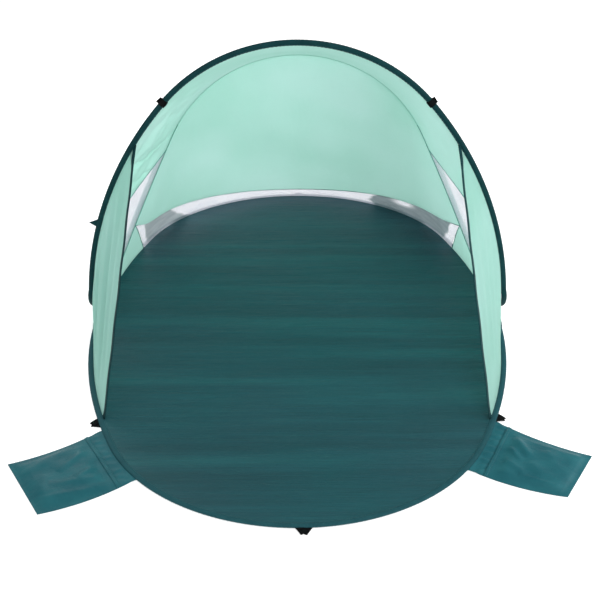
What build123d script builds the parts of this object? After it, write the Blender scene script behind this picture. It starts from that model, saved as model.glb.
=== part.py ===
"""Two-hoop pop up tent: a beach shelter that springs open by itself.

Millimetres. +Z is up and -Y is the open front. The origin is on the ground, midway between the two
places where the hoops cross. Each closed spring wire hoop lies half on the ground and half in the air:
the first is the front rim of the floor and the rear arch, the second is the front arch and the rear
rim. They cross beside the door at Y = 0, and every half hoop folds about the line through both
crossings. Fabric is drawn as thin solid sheets stretched between the hoops.
"""
from build123d import *
from math import acos, asin, atan2, cos, degrees, hypot, pi, radians, sin
import os

os.makedirs("parts", exist_ok=True)

# Driving dimensions
FLOOR_HALF_WIDTH = 650.0        # to the outer edge of the rim, at the crossings
FLOOR_HALF_LENGTH = 1000.0      # from the crossings to the outer edge of the rim, front and rear
TENT_HEIGHT = 900.0

# Hoops: a flat fabric sleeve with a round spring wire inside it
WIRE_DIAMETER = 3.5
WIRE_CHANNEL = 3.9
SLEEVE_WIDTH = 18.0
SLEEVE_THICKNESS = 6.4
FERRULE_DIAMETER = 5.0
FERRULE_CHANNEL = 5.4
FERRULE_LENGTH = 24.0
AXIS_HEIGHT = SLEEVE_THICKNESS / 2

HALF_WIDTH = FLOOR_HALF_WIDTH - SLEEVE_WIDTH / 2
RIM_REACH = FLOOR_HALF_LENGTH - SLEEVE_WIDTH / 2
ARCH_HALF_WIDTH = HALF_WIDTH + 19.0     # the front arch passes outside the other hoop
ARCH_REACH = TENT_HEIGHT - AXIS_HEIGHT - SLEEVE_WIDTH / 2
REAR_ARCH_REACH = 885.0
REAR_ARCH_ELEVATION = 54.0

# Sheets
SHEET = 1.2
SEAM_GAP = 0.6
SHEET_TO_WIRE = SLEEVE_WIDTH / 2 + 1.0
SEAM_SHARE = 0.006              # gap beside a seam that crosses a sheet, as a share of its height

# Where the hoops bend round at a crossing, as distances from it along each half
ARCH_BEND_START = 100.0
RIM_BEND_START = 70.0
BEND_GAP = 0.5
ARCH_BEND_BOW = 1.5             # how far a bend bows out past its hoop's half width
RIM_BEND_BOW = -0.5

# Fractions of the way up a half hoop, from its crossing (0) to its middle (1)
PANEL_START = 0.12
WINDOW_END_FOOT = 0.385         # the window's slanted end seam, from the rim
WINDOW_END_TOP = 0.27           # to the rear arch
SIDE_WINDOW_TOP = 0.50
SIDE_WINDOW_FRONT = 0.12
WING_TOP = 0.51
WING_FOOT = 0.44
BAND_AT = 0.64
TAB_AT = 0.276
FERRULE_AT = 0.90
FRONT_LOOP_AT = 0.9875
LEFT_LOOP_AT = 0.448
RIGHT_LOOP_AT = 0.428
REAR_LOOP_AT = 0.27

# Runs of the canopy panels, kept clear of the seams beside them
WALL_CLEARANCE = 0.035
WINDOW_CLEARANCE = 0.04
CORNER_CLEARANCE = 0.02
ROOF_CLEARANCE = 0.06
SIDE_WINDOW_CLEARANCE = 0.03
WING_FROM, WING_TO = 0.25, 0.985

# Top edge of the rear window, as a share of the wall's height: low and level in the middle, then a
# gentle sweep up and a steep corner at each end
WINDOW_MIDDLE = 0.06
WINDOW_SWEEP = 0.36
WINDOW_CORNER = 0.58

# Sand pockets, soft and lying a little askew. Their ends lean forward along the rim, by a distance, and
# slant, by as much more at the rear corner and less at the front one
POCKETS = {
    "left": dict(side=-1, at=0.5685, half=120.0, end_half=113.0, length=245.0, lean=9.0, slant=4.0),
    "right": dict(side=1, at=0.5322, half=118.0, end_half=95.0, length=251.0, lean=19.0, slant=11.0),
}
POCKET_SHEET = 1.0
POCKET_HEIGHT = 4.6
POCKET_MOUTH = 30.0             # from the rim to the mouth of the pocket
POCKET_LIP = 8.0
POCKET_HEM = 9.0
POCKET_HEM_RISE = 0.8
POCKET_HINGE_GAP = 1.5
POCKET_AXIS_OUT = 0.4           # from the rim to the line a pocket folds about

# Webbing
LOOP_WIDTH = 40.0
LOOP_LENGTH = 27.0
LOOP_THICKNESS = 2.4
LOOP_CLEARANCE = 0.8
LOOP_GAP_START, LOOP_GAP_END = 4.0, 15.0
LOOP_GAP_FOOT, LOOP_GAP_TIP = 13.0, 4.0
LOOP_GAP_CENTRE = 8.5
BAND_WIDTH = 20.0
BAND_THICKNESS = 1.6
BAND_CLEARANCE = 0.4
TAB_WIDTH = 26.0
TAB_LENGTH = 22.0
TAB_THICKNESS = 1.6
TAB_CLEARANCE = 0.8
BINDING_WIDTH = 7.0
BINDING_THICKNESS = 2.2


class HalfHoop:
    """Half of a hoop, flat in its own plane: two leg arcs joined by one end arc.

    Across the plane, x runs from the middle to a crossing, and s is the distance from the crossing
    line. leg_radius None gives legs that leave the crossing at a right angle to that line.
    """

    def __init__(self, half_width, reach, end_radius, elevation, leg_radius=None):
        self.half_width, self.reach, self.end_radius = half_width, reach, end_radius
        self.elevation = radians(elevation)
        end_s = reach - end_radius
        if leg_radius is None:
            leg_radius = (half_width**2 + reach**2 - 2 * reach * end_radius) / 2 / (half_width - end_radius)
        self.leg_radius = leg_radius
        span = hypot(half_width, end_s)
        opening = acos((leg_radius**2 + span**2 - (leg_radius - end_radius) ** 2) / (2 * leg_radius * span))
        turn = atan2(end_s, -half_width) + opening
        self.leg_x = half_width + leg_radius * cos(turn)
        self.leg_s = leg_radius * sin(turn)
        self.end_s = end_s
        self.foot_angle = atan2(-self.leg_s, half_width - self.leg_x)
        self.join_angle = atan2(end_s - self.leg_s, -self.leg_x)
        self.leg_length = leg_radius * (self.join_angle - self.foot_angle)
        self.end_length = end_radius * (pi / 2 - self.join_angle)
        self.length = self.leg_length + self.end_length

    def flat(self, share):
        """Point (x, s) in the hoop's plane and the outward direction there, at a share of the half."""
        run = share * self.length
        if run <= self.leg_length:
            angle = self.foot_angle + run / self.leg_radius
            centre, radius = (self.leg_x, self.leg_s), self.leg_radius
        else:
            angle = self.join_angle + (run - self.leg_length) / self.end_radius
            centre, radius = (0.0, self.end_s), self.end_radius
        outward = (cos(angle), sin(angle))
        return (centre[0] + radius * outward[0], centre[1] + radius * outward[1]), outward

    def place(self, x, s, rise=0.0):
        """Point in space of a point in the hoop's plane; rise is square to the plane."""
        c, e = cos(self.elevation), sin(self.elevation)
        return Vector(x, s * c - rise * e, AXIS_HEIGHT + s * e + rise * c)

    def point(self, share, side=1):
        (x, s), _ = self.flat(share)
        return self.place(side * x, s)

    def share_at(self, s):
        """Share of the half, on its leg arc, at distance s from the crossing line."""
        angle = asin((s - self.leg_s) / self.leg_radius)
        return self.leg_radius * (angle - self.foot_angle) / self.length

    def path(self, start, stop=1.0, side=1):
        """Arcs along one side, from one share of the half to another."""
        join = self.leg_length / self.length
        shares = [start, join, stop] if start < join < stop else [start, stop]
        edges = []
        for low, high in zip(shares, shares[1:]):
            points = [self.point(t, side) for t in (low, (low + high) / 2, high)]
            edges.append(ThreePointArc(*points))
        return edges

    def whole_path(self, start):
        """The half hoop from one leg over its middle to the other leg, as one wire."""
        return Wire(self.path(start, 1.0, 1) + self.path(start, 1.0, -1))

    def section_plane(self, share, side=1):
        (x, s), (ox, os_) = self.flat(share)
        outward = self.place(side * (x + ox), s + os_) - self.place(side * x, s)
        square = self.place(side * x, s, 1.0) - self.place(side * x, s)
        return Plane(origin=self.point(share, side), x_dir=outward, z_dir=outward.cross(square))


def write(name, shape):
    export_step(shape, f"parts/{name}.step")


def sweep_along(half_hoop, start, sketch):
    """Sweep a flat section from one leg of a half hoop to the other."""
    section = half_hoop.section_plane(start) * sketch
    return sweep(section, path=half_hoop.whole_path(start))


def sleeve(half_hoop, start, ferrule_at=None):
    """Flat fabric tube, hollow for the wire and wider inside where the wire's ferrule lies."""
    body = sweep_along(half_hoop, start, SlotOverall(SLEEVE_WIDTH, SLEEVE_THICKNESS))
    body -= sweep_along(half_hoop, start, Circle(WIRE_CHANNEL / 2))
    if ferrule_at is not None:
        body -= ferrule_bar(half_hoop, ferrule_at, FERRULE_CHANNEL, FERRULE_LENGTH + 2.0)
    return body


def ferrule_bar(half_hoop, share, diameter, length):
    return half_hoop.section_plane(share) * Cylinder(diameter / 2, length)


def ferrule(half_hoop, share):
    """Crimped tube over both ends of a hoop's wire."""
    bore = ferrule_bar(half_hoop, share, WIRE_CHANNEL, FERRULE_LENGTH + 2.0)
    return ferrule_bar(half_hoop, share, FERRULE_DIAMETER, FERRULE_LENGTH) - bore


def ruled(sections):
    """Closed solid through a row of flat polygons."""
    return Solid.make_loft([Wire.make_polygon(points) for points in sections], ruled=True)


def sheet_section(low, high, start, stop, face):
    """Thin cross section of a sheet, from one share of the line low-high to another."""
    along = (high - low).normalized()
    first = low + (high - low) * start
    last = low + (high - low) * stop
    if (first - low).length < SHEET_TO_WIRE:
        first = low + along * SHEET_TO_WIRE
    if (high - last).length < SHEET_TO_WIRE:
        last = high - along * SHEET_TO_WIRE
    up = face * (SHEET / 2)
    return [first - up, last - up, last + up, first + up]


def sheet(low_curve, high_curve, shares, span):
    """Sheet between two curves. shares are signed: negative on the left; span gives its start and stop."""
    sections = []
    for share in shares:
        low, high = low_curve(share), high_curve(share)
        step = 0.01
        travel = (low_curve(share + step) + high_curve(share + step)) * 0.5 - (low + high) * 0.5
        face = (high - low).cross(travel).normalized()
        start, stop = span(share)
        sections.append(sheet_section(low, high, start, stop, face))
    return ruled(sections)


def steps(first, last, count):
    return [first + (last - first) * i / count for i in range(count + 1)]


def curve_of(half_hoop):
    """Curve over signed run: -1 is the left crossing, 0 the middle and 1 the right crossing."""
    return lambda run: half_hoop.point(min(1 - abs(run), 1.0), 1 if run >= 0 else -1)


front_rim = HalfHoop(HALF_WIDTH, RIM_REACH, 540.0, 180.0)
rear_rim = HalfHoop(HALF_WIDTH, RIM_REACH, 572.0, 0.0)
front_arch = HalfHoop(ARCH_HALF_WIDTH, ARCH_REACH, 519.0, 90.0)
rear_arch = HalfHoop(HALF_WIDTH, REAR_ARCH_REACH, 455.0, REAR_ARCH_ELEVATION, leg_radius=8000.0)

SIDES = {"left": -1, "right": 1}


def make_hoops():
    """Sleeves and wires of the four half hoops, and the crimped ferrule that closes each hoop's wire."""
    halves = {
        "front_rim": (front_rim, RIM_BEND_START, FERRULE_AT),
        "rear_arch": (rear_arch, RIM_BEND_START, None),
        "front_arch": (front_arch, ARCH_BEND_START, None),
        "rear_rim": (rear_rim, ARCH_BEND_START, FERRULE_AT),
    }
    for name, (half, bend_start, ferrule_at) in halves.items():
        start = half.share_at(bend_start)
        write(f"{name}_sleeve", sleeve(half, start, ferrule_at))
        write(f"{name}_wire", sweep_along(half, start, Circle(WIRE_DIAMETER / 2)))
        if ferrule_at is not None:
            write(f"{name}_ferrule", ferrule(half, ferrule_at))


def bend_planes(first, second, start, outer_x, side, count=8):
    """Planes along the bend from one half hoop to the next: an arc in side view, bowed out to outer_x."""
    start -= BEND_GAP
    first_plane = first.section_plane(first.share_at(start), side)
    last_plane = second.section_plane(second.share_at(start), side)
    p, q = first_plane.origin, last_plane.origin
    half_angle = abs(second.elevation - first.elevation) / 2
    radius = start * sin(half_angle) / cos(half_angle)
    corner = Vector(0, 0, AXIS_HEIGHT)
    inward = Vector(0, p.Y + q.Y, p.Z + q.Z - 2 * AXIS_HEIGHT).normalized()
    centre = corner + inward * hypot(radius, start)
    first_angle = atan2(p.Z - centre.Z, p.Y - centre.Y)
    turn = (atan2(q.Z - centre.Z, q.Y - centre.Y) - first_angle + pi) % (2 * pi) - pi
    spots, outwards = [], []
    for i in range(count + 1):
        t = i / count
        angle = first_angle + turn * t
        x = p.X + (q.X - p.X) * t + (side * outer_x - (p.X + q.X) / 2) * 4 * t * (1 - t)
        spots.append(Vector(x, centre.Y + radius * cos(angle), centre.Z + radius * sin(angle)))
        outwards.append(first_plane.x_dir * (1 - t) + last_plane.x_dir * t)
    planes = [first_plane]
    for i in range(1, count):
        planes.append(Plane(origin=spots[i], x_dir=outwards[i], z_dir=spots[i + 1] - spots[i - 1]))
    tangent = last_plane.z_dir
    if tangent.dot(spots[-1] - spots[-2]) < 0:
        tangent = -tangent
    if first_plane.z_dir.dot(spots[1] - spots[0]) < 0:
        planes[0] = Plane(origin=p, x_dir=first_plane.x_dir, z_dir=-first_plane.z_dir)
    planes.append(Plane(origin=q, x_dir=last_plane.x_dir, z_dir=tangent))
    return planes


def rounded_loft(planes, sketch):
    wires = [(plane * sketch).wire() for plane in planes]
    return Solid.make_loft(wires, ruled=True)


def make_bends():
    """The stretch of each hoop that bends from the ground into the air at a crossing."""
    bends = {
        "arch_bend": (front_arch, rear_rim, ARCH_BEND_START, ARCH_HALF_WIDTH + ARCH_BEND_BOW),
        "rim_bend": (front_rim, rear_arch, RIM_BEND_START, HALF_WIDTH + RIM_BEND_BOW),
    }
    for name, (first, second, start, outer_x) in bends.items():
        for side_name, side in SIDES.items():
            planes = bend_planes(first, second, start, outer_x, side)
            tube = rounded_loft(planes, SlotOverall(SLEEVE_WIDTH, SLEEVE_THICKNESS))
            channel = rounded_loft(planes, Circle(WIRE_CHANNEL / 2))
            write(f"{name}_sleeve_{side_name}", tube - channel)
            write(f"{name}_wire_{side_name}", rounded_loft(planes, Circle(WIRE_DIAMETER / 2)))


def floor_half(half):
    """Half of the floor sheet, inside its rim and up to the fold line at Y = 0."""
    inset = SLEEVE_WIDTH / 2 + SEAM_GAP
    inner = HalfHoop(half.half_width - inset, half.reach - inset, half.end_radius - inset,
                     degrees(half.elevation), half.leg_radius - inset)
    start = inner.share_at(1.0)
    edges = inner.path(start, 1.0, 1) + inner.path(start, 1.0, -1)
    edges.append(Line(inner.point(start, 1), inner.point(start, -1)))
    outline = Face(Wire(edges))
    plate = Solid.extrude(outline, Vector(0, 0, SHEET))
    return plate.moved(Location((0, 0, -AXIS_HEIGHT)))


def window_share(share):
    """Top edge of the rear window, as a share of the rear wall's height there."""
    out = min(1.0, abs(share) / (1 - WINDOW_END_TOP))
    return WINDOW_MIDDLE + WINDOW_SWEEP * out**2 + WINDOW_CORNER * out**8


def window_end_share(share):
    """Slanted end edge of the rear window: 0 on the rim, 1 on the rear arch."""
    up = 1 - abs(share)
    return min(1.0, max(0.0, (WINDOW_END_FOOT - up) / (WINDOW_END_FOOT - WINDOW_END_TOP)))


def side_window_share(share):
    """Front edge of a side window, as a share of the way from the rear arch to the front arch."""
    up = 1 - abs(share)
    return (SIDE_WINDOW_TOP - up) / (SIDE_WINDOW_TOP - SIDE_WINDOW_FRONT)


def make_canopy():
    """Rear wall with its window and corners, roof, side windows and wings."""
    rim, rear, arch = curve_of(rear_rim), curve_of(rear_arch), curve_of(front_arch)
    wall_edge = 1 - WINDOW_END_TOP - WALL_CLEARANCE
    window_edge = 1 - WINDOW_END_TOP - WINDOW_CLEARANCE
    write("rear_wall_panel", sheet(rim, rear, steps(-wall_edge, wall_edge, 40),
                                   lambda t: (window_share(t) + SEAM_SHARE, 1.0)))
    write("rear_window_mesh", sheet(rim, rear, steps(-window_edge, window_edge, 40),
                                    lambda t: (window_end_share(t) + SEAM_SHARE,
                                               window_share(t) - SEAM_SHARE)))
    roof_edge = 1 - SIDE_WINDOW_FRONT - ROOF_CLEARANCE
    write("roof_panel", sheet(rear, arch, steps(-roof_edge, roof_edge, 32),
                              lambda t: (max(0.0, side_window_share(t) + SEAM_SHARE), 1.0)))
    for name, side in SIDES.items():
        corner = steps(side * (1 - WINDOW_END_FOOT + CORNER_CLEARANCE), side * (1 - WINDOW_END_TOP), 5)
        corner += steps(side * (1 - WINDOW_END_TOP), side * (1 - PANEL_START), 7)[1:]
        write(f"rear_corner_panel_{name}", sheet(rim, rear, corner, lambda t: (0.0, window_end_share(t))))
        window = steps(side * (1 - SIDE_WINDOW_TOP + SIDE_WINDOW_CLEARANCE), side * (1 - PANEL_START), 12)
        write(f"side_window_{name}", sheet(rear, arch, window,
                                           lambda t: (0.0, min(1.0, side_window_share(t) - SEAM_SHARE))))
        foot, top = wing_curves(side)
        write(f"wing_{name}", sheet(foot, top, steps(WING_FROM, WING_TO, 12), lambda t: (0.0, 1.0)))
        write(f"wing_binding_{name}", wing_binding(side))


def wing_curves(side):
    """Both curved edges of a wing, over a run of 0 at the crossing to 1 at its free edge."""
    def foot(run):
        return front_rim.point(WING_FOOT * run, side)

    def top(run):
        return front_arch.point(WING_TOP * run, side)

    return foot, top


def wing_binding(side):
    """Folded tape along the straight free edge of a wing."""
    foot, top = wing_curves(side)
    low, high = foot(1.0), top(1.0)
    along = (high - low).normalized()
    travel = (foot(1.01) + top(1.01)) * 0.5 - (low + high) * 0.5
    face = along.cross(travel).normalized() * (BINDING_THICKNESS / 2)
    across = face.cross(along).normalized() * (BINDING_WIDTH / 2)
    ends = []
    for spot in (low + along * SHEET_TO_WIRE, high - along * SHEET_TO_WIRE):
        ends.append([spot - across - face, spot + across - face, spot + across + face, spot - across + face])
    return ruled(ends)


def outward_frame(half, share, side, gap):
    """Plane on the ground beside a rim: X along the rim, Y away from it."""
    (x, s), (ox, os_) = half.flat(share)
    edge = SLEEVE_WIDTH / 2 + gap
    spot = half.place(side * (x + ox * edge), s + os_ * edge, 0.0)
    outward = half.place(side * (x + ox), s + os_) - half.place(side * x, s)
    outward = Vector(outward.X, outward.Y, 0).normalized()
    return Plane(origin=(spot.X, spot.Y, 0), x_dir=outward.cross(Vector(0, 0, 1)), z_dir=(0, 0, 1))


def plate_on(plane, outline, bottom, top):
    face = Face(Wire.make_polygon([plane.from_local_coords(Vector(*p, bottom)) for p in outline]))
    return Solid.extrude(face, Vector(0, 0, top - bottom))


def make_loops():
    """Webbing stake loops sewn under the rim: a folded strip with a triangular gap for a stake."""
    half = LOOP_WIDTH / 2
    outer = [(-half, 0), (half, 0), (0, LOOP_LENGTH)]
    foot, tip = LOOP_GAP_FOOT / 2, LOOP_GAP_TIP / 2
    gap = [(-foot, LOOP_GAP_START), (foot, LOOP_GAP_START), (tip, LOOP_GAP_END), (-tip, LOOP_GAP_END)]
    spots = {
        "front_stake_loop_centre": (front_rim, FRONT_LOOP_AT, 1),
        "front_stake_loop_left": (front_rim, LEFT_LOOP_AT, -1),
        "front_stake_loop_right": (front_rim, RIGHT_LOOP_AT, 1),
        "rear_stake_loop_centre": (rear_rim, 1.0, 1),
        "rear_stake_loop_left": (rear_rim, REAR_LOOP_AT, -1),
        "rear_stake_loop_right": (rear_rim, REAR_LOOP_AT, 1),
    }
    for name, (rim, share, side) in spots.items():
        plane = outward_frame(rim, share, side, LOOP_CLEARANCE)
        loop = plate_on(plane, outer, 0.0, LOOP_THICKNESS) - plate_on(plane, gap, -1.0, LOOP_THICKNESS + 1)
        write(name, loop)
        centre = plane.from_local_coords(Vector(0, LOOP_GAP_CENTRE, 0))
        print(f"{name} gap centre {centre.X:.1f} {centre.Y:.1f}")


def make_arch_trim():
    """Two webbing bands round the front arch and a pointed tab on its left leg."""
    inner_size = (SLEEVE_WIDTH + 2 * BAND_CLEARANCE, SLEEVE_THICKNESS + 2 * BAND_CLEARANCE)
    outer_size = (inner_size[0] + 2 * BAND_THICKNESS, inner_size[1] + 2 * BAND_THICKNESS)
    for name, side in SIDES.items():
        plane = front_arch.section_plane(BAND_AT, side)
        band = plane * Box(*outer_size, BAND_WIDTH) - plane * Box(*inner_size, BAND_WIDTH + 2)
        write(f"arch_band_{name}", band)
    leg = front_arch.section_plane(TAB_AT, -1)
    face = Plane(origin=leg.origin, x_dir=leg.x_dir, z_dir=leg.y_dir)
    first = SLEEVE_WIDTH / 2 + TAB_CLEARANCE
    outline = [(first, -TAB_WIDTH / 2), (first + TAB_LENGTH, 0.0), (first, TAB_WIDTH / 2)]
    corners = [face.from_local_coords(Vector(x, y, -TAB_THICKNESS / 2)) for x, y in outline]
    write("side_tab_left", Solid.extrude(Face(Wire.make_polygon(corners)), face.z_dir * TAB_THICKNESS))


def pocket_outline(pocket, start, inset=0.0, end_inset=0.0):
    """Corners of a pocket from a distance out to its end; x runs along the rim and y away from it."""
    forward = pocket["side"]

    def corner(edge, out):
        """edge is 1 at the front side of the pocket and -1 at its rear side."""
        share = out / pocket["length"]
        half = pocket["half"] + (pocket["end_half"] - pocket["half"]) * share - inset
        return forward * (pocket["lean"] * share + edge * half), out - edge * pocket["slant"] * share

    end = pocket["length"] - end_inset
    return [corner(-1, start), corner(1, start), corner(1, end), corner(-1, end)]


def make_pockets():
    """Sand pockets: a base sheet hinged at the rim, and a top sheet sewn on round three edges."""
    for name, pocket in POCKETS.items():
        plane = outward_frame(front_rim, pocket["at"], pocket["side"], POCKET_HINGE_GAP)
        base = pocket_outline(pocket, 0.0)
        write(f"sand_pocket_base_{name}", plate_on(plane, base, 0.0, POCKET_SHEET))
        cover = pocket_outline(pocket, POCKET_MOUTH)
        hollow = pocket_outline(pocket, POCKET_MOUTH - 1, POCKET_LIP, POCKET_LIP)
        top = plate_on(plane, cover, POCKET_SHEET, POCKET_HEIGHT)
        top -= plate_on(plane, hollow, POCKET_SHEET - 0.5, POCKET_HEIGHT - POCKET_SHEET)
        write(f"sand_pocket_top_{name}", top)
        hem = [*cover[:2], *reversed(pocket_outline(pocket, POCKET_MOUTH + POCKET_HEM)[:2])]
        hem_top = POCKET_HEIGHT + POCKET_HEM_RISE
        write(f"sand_pocket_hem_{name}", plate_on(plane, hem, POCKET_HEIGHT, hem_top))
        hinge = plane.from_local_coords(Vector(0, POCKET_AXIS_OUT - POCKET_HINGE_GAP, 0))
        axis = plane.x_dir
        print(f"pocket {name} hinge {hinge.X:.2f} {hinge.Y:.2f} axis {axis.X:.5f} {axis.Y:.5f}")


make_hoops()
make_bends()
write("front_floor_sheet", floor_half(front_rim))
write("rear_floor_sheet", floor_half(rear_rim))
make_canopy()
make_loops()
make_arch_trim()
make_pockets()
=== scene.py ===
"""Looks of the two-hoop pop up tent: cloth panels, fabric sleeves, webbing, floor and sand pockets.

Metres, in the frame of the CAD model: +Z up, -Y the open front, the origin on the ground midway
between the two crossings of the hoops. Every cloth panel is stretched between two hoops that fold
about the line through both crossings.
"""
import math

import bpy
import numpy as np
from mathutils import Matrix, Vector, noise


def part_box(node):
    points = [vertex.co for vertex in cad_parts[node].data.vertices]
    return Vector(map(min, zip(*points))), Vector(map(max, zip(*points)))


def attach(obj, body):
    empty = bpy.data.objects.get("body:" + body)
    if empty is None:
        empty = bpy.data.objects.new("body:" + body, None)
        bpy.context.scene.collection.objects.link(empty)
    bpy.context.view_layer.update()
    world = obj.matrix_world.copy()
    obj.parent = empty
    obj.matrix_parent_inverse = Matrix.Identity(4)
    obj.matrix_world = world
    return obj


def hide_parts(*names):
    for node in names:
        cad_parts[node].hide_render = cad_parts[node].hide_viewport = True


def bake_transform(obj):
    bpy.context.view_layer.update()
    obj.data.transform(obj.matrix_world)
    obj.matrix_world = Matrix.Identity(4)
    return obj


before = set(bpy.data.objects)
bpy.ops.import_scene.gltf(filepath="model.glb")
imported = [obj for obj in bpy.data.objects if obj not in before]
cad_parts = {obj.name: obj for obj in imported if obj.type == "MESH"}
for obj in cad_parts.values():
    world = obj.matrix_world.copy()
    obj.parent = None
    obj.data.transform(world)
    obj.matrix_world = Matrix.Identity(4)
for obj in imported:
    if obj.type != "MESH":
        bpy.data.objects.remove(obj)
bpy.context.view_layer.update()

# Hoops, from the frame where a box gives the size
SLEEVE_HALF = 0.009             # of a sleeve's width
SLEEVE_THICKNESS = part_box("front_rim_sleeve")[1].z
AXIS_HEIGHT = SLEEVE_THICKNESS / 2
RIM_REACH = -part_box("front_rim_sleeve")[0].y - SLEEVE_HALF
ARCH_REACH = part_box("front_arch_sleeve")[1].z - AXIS_HEIGHT - SLEEVE_HALF
RIM_END_RADIUS = 0.540
HALF_WIDTH = 0.641
ARCH_HALF_WIDTH = 0.660
REAR_ARCH_REACH = 0.885
REAR_ARCH_ELEVATION = 54.0      # degrees above the rear floor
WIRE_RADIUS = 0.00175
WIRE_SIDES = 10
GATHER_PITCH = 0.011            # of the small gathers along a sleeve
GATHER_HEIGHT = 0.00035
SLEEVE_GIRTH = 0.042            # round a sleeve's section
ARCH_BEND_START = 0.100
RIM_BEND_START = 0.070
ARCH_BEND_X = ARCH_HALF_WIDTH + 0.0015
RIM_BEND_X = HALF_WIDTH - 0.0005
ARCH_BEND_MEETS = 0.46          # of the way round an arch bend, where it passes the rear arch

# Shares of the way up a half hoop, from its crossing (0) to its middle (1)
PANEL_START = 0.03
WINDOW_END_FOOT = 0.385
WINDOW_END_TOP = 0.27
SIDE_WINDOW_TOP = 0.50
SIDE_WINDOW_FRONT = 0.12
WING_TOP = 0.51
WING_FOOT = 0.44
WING_START = 0.045
BAND_AT = 0.64
TAB_AT = 0.276
FRONT_LOOP_AT = 0.9875
LEFT_LOOP_AT = 0.448
RIGHT_LOOP_AT = 0.428
REAR_LOOP_AT = 0.27

# Top edge of the rear window, as a share of the wall's height: low and level in the middle, then a
# gentle sweep up and a steep corner at each end
WINDOW_MIDDLE = 0.06
WINDOW_SWEEP = 0.36
WINDOW_CORNER = 0.58

SEW_INSET = 0.0075              # from a wire to the line where cloth is sewn into its sleeve
SEAM_TAPE = (0.0045, 0.0022)    # width and thickness
END_TAPE = (0.0050, 0.0012)
ARCH_TAPE = (0.0034, 0.0010)
WING_TAPE = 0.0130              # width of the tape on a wing's free edge
FOOT_FLARE = 0.008              # more width at that tape's foot
TOP_FLARE = 0.020               # and at its top
FLOOR_REST = 0.0019             # height of the floor cloth where it lies
FLOOR_SEAM = 0.018              # strip over which it rises to the rim
STITCH_RADIUS = 0.0005
STITCH_FILL = 0.34              # half length of a stitch, as a share of the pitch
WEBBING_GAP = 0.0016            # from a sleeve to the webbing round it
NUDGE = 0.004                   # change of run over which a panel's direction is taken
EASE = 0.08                     # share of a half hoop over which folds fade out near a crossing
CORNER_EASE = 0.12              # and near the rear window's ends
WAVE_PERIOD = 0.314             # of the wave texture at scale 1
SEED_GAP = 7.31                 # between the noise layers of two seeds
SIDES = {"left": -1, "right": 1}


def clamp(t):
    return min(1.0, max(0.0, t))


def smooth(t):
    t = clamp(t)
    return t * t * (3 - 2 * t)


def between(low, high, t):
    return low + (high - low) * t


def steps(first, last, count):
    return [first + (last - first) * i / count for i in range(count + 1)]


def rough(x, y, seed, size):
    """Soft random relief from -1 to 1, with hollows about size across."""
    return noise.noise(Vector((x / size, y / size, seed * SEED_GAP)))


# --- hoops


class HalfHoop:
    """Half of a hoop, flat in its own plane: two leg arcs joined by one end arc."""

    def __init__(self, half_width, reach, end_radius, elevation, leg_radius=None):
        self.elevation = math.radians(elevation)
        self.end_radius = end_radius
        self.end_s = reach - end_radius
        if leg_radius is None:
            spread = half_width**2 + reach**2 - 2 * reach * end_radius
            leg_radius = spread / 2 / (half_width - end_radius)
        self.leg_radius = leg_radius
        span = math.hypot(half_width, self.end_s)
        lean = (leg_radius**2 + span**2 - (leg_radius - end_radius) ** 2) / (2 * leg_radius * span)
        turn = math.atan2(self.end_s, -half_width) + math.acos(lean)
        self.leg_x = half_width + leg_radius * math.cos(turn)
        self.leg_s = leg_radius * math.sin(turn)
        self.foot_angle = math.atan2(-self.leg_s, half_width - self.leg_x)
        self.join_angle = math.atan2(self.end_s - self.leg_s, -self.leg_x)
        self.leg_length = leg_radius * (self.join_angle - self.foot_angle)
        self.length = self.leg_length + end_radius * (math.pi / 2 - self.join_angle)

    def flat(self, share):
        """Point (x, s) in the hoop's plane and the outward direction there."""
        run = share * self.length
        if run <= self.leg_length:
            angle = self.foot_angle + run / self.leg_radius
            centre, radius = (self.leg_x, self.leg_s), self.leg_radius
        else:
            angle = self.join_angle + (run - self.leg_length) / self.end_radius
            centre, radius = (0.0, self.end_s), self.end_radius
        outward = (math.cos(angle), math.sin(angle))
        return (centre[0] + radius * outward[0], centre[1] + radius * outward[1]), outward

    def place(self, x, s, rise=0.0):
        c, e = math.cos(self.elevation), math.sin(self.elevation)
        return Vector((x, s * c - rise * e, AXIS_HEIGHT + s * e + rise * c))

    def share_at(self, s):
        angle = math.asin((s - self.leg_s) / self.leg_radius)
        return self.leg_radius * (angle - self.foot_angle) / self.length

    def station(self, run):
        """Place, outward direction and square direction at a signed run: -1 left, 0 middle, 1 right."""
        side = 1 if run >= 0 else -1
        (x, s), (ox, os_) = self.flat(1 - abs(run))
        spot = self.place(side * x, s)
        outward = self.place(side * (x + ox), s + os_) - spot
        square = self.place(side * x, s, 1.0) - spot
        return spot, outward, square

    def edge(self, inset):
        """Curve over the signed run, inset from the wire towards the inside of the hoop."""

        def at(run):
            spot, outward, _ = self.station(run)
            return spot - outward * inset

        return at


front_rim = HalfHoop(HALF_WIDTH, RIM_REACH, RIM_END_RADIUS, elevation=180.0)
rear_rim = HalfHoop(HALF_WIDTH, RIM_REACH, end_radius=0.572, elevation=0.0)
front_arch = HalfHoop(ARCH_HALF_WIDTH, ARCH_REACH, end_radius=0.519, elevation=90.0)
rear_arch = HalfHoop(HALF_WIDTH, REAR_ARCH_REACH, 0.455, REAR_ARCH_ELEVATION, leg_radius=8.0)
ANGLE_OF = {"base": 0.0, "rear_arch": REAR_ARCH_ELEVATION, "front_arch": 90.0, "front_floor": 180.0}
REAR_PAIR = ("base", "rear_arch")
ROOF_PAIR = ("rear_arch", "front_arch")
WING_PAIR = ("front_arch", "front_floor")


# --- material nodes


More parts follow.
